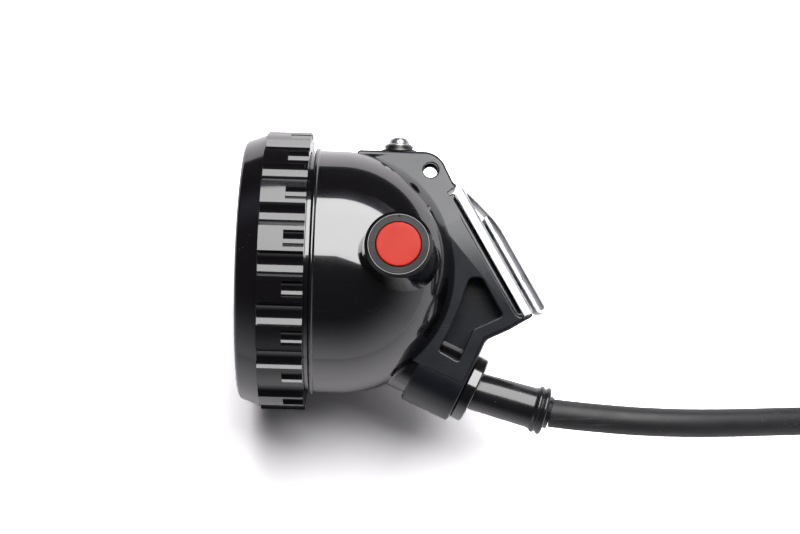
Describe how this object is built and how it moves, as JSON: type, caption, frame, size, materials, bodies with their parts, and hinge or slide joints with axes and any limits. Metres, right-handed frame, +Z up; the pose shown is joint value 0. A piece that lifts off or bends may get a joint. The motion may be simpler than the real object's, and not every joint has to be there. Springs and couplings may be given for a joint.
{
  "type": "miner's cap lamp",
  "caption": "Corded cap lamp headpiece with a domed black housing, ribbed screw-on bezel, side push button, rear bracket with a sprung hook, and a sheathed cable that ends in a locking plug.",
  "frame": {"origin": "on the table under the middle of the headpiece's box (cable, strain relief and plug left out), with the lamp lying on its side on two pads of its bezel", "axes": "+X back along the lamp axis, away from the lens; +Y across the lamp towards the bracket screw, which is the underside of the lamp as it is worn; +Z up out of the push button side"},
  "size_m": [0.2763, 0.1051, 0.0793],
  "materials": {
    "gloss_black": "glossy moulded",
    "satin_black": "satin, fine texture",
    "clear_lens": "clear polycarbonate",
    "black_rubber": "satin rubber",
    "bright_reflector": "vacuum-plated mirror",
    "white_board": "solder resist",
    "led_phosphor": "phosphor under silicone",
    "led_epoxy": "clear epoxy",
    "bare_aluminium": "machined",
    "green_board": "solder resist",
    "dark_plastic": "moulded",
    "zinc_steel": "zinc plated",
    "red_plastic": "moulded, slightly glossy",
    "chrome_plate": "bright plated sheet",
    "dark_steel": "blackened",
    "brass": "bare",
    "cable_sheath": "matt sheath",
    "red_insulation": "silicone",
    "black_insulation": "silicone",
    "white_insulation": "silicone"
  },
  "bodies": {
    "lamp": {"housing": "gloss_black", "lens_gasket": "black_rubber", "reflector": "bright_reflector", "led_board": "white_board", "main_led": "led_phosphor", "aux_leds": "led_epoxy", "heat_sink": "bare_aluminium", "driver_board": "green_board", "switch_body": "dark_plastic", "button_seal": "black_rubber", "button_spring": "zinc_steel", "button_ring": "gloss_black", "switch_leads": "white_insulation", "rear_bracket": "satin_black", "bracket_screw": "chrome_plate", "spring_washer": "dark_steel", "flat_washer": "zinc_steel", "screw_insert": "brass", "hook_channel": "chrome_plate", "hook_tongue": "chrome_plate", "hook_rivets": "zinc_steel", "gland_nut": "gloss_black", "gland_bush": "black_rubber", "strain_relief": "black_rubber", "cable_entry": "cable_sheath", "lead_red": "red_insulation", "lead_black": "black_insulation", "cable_run": "cable_sheath", "cable_coil": "cable_sheath", "plug_boot": "black_rubber", "plug_shell": "satin_black", "plug_insert": "dark_plastic", "plug_pins": "brass"},
    "lens_pack": {"lens": "clear_lens"},
    "bezel_ring": {"bezel": "gloss_black"},
    "button": {"button_cap": "red_plastic"},
    "plug_coupler": {"plug_ring": "zinc_steel"}
  },
  "joints": [
    {"name": "bezel_advance", "type": "slide", "parent": "lamp", "child": "lens_pack", "axis": [-1, 0, 0], "range_m": [0, 0.0091]},
    {"name": "bezel_turn", "type": "hinge", "parent": "lens_pack", "child": "bezel_ring", "pos_m": [-0.03596, 0.00089, 0.03885], "axis": [-1, 0, 0], "range_deg": [0, 1080]},
    {"name": "button_press", "type": "slide", "parent": "lamp", "child": "button", "axis": [0, -0.1521, -0.9884], "range_m": [0, 0.0018], "stiffness_N_per_m": 1100, "springref_m": -0.0014, "deforming": ["button_spring"]},
    {"name": "plug_ring_turn", "type": "hinge", "parent": "lamp", "child": "plug_coupler", "pos_m": [0.21447, 0.04334, 0.0245], "axis": [-0.1736, 0.9848, 0], "continuous": true}
  ],
  "couplings": [
    {"joint": "bezel_advance", "follows": "bezel_turn", "m_per_rad": 0.00047746}
  ]
}
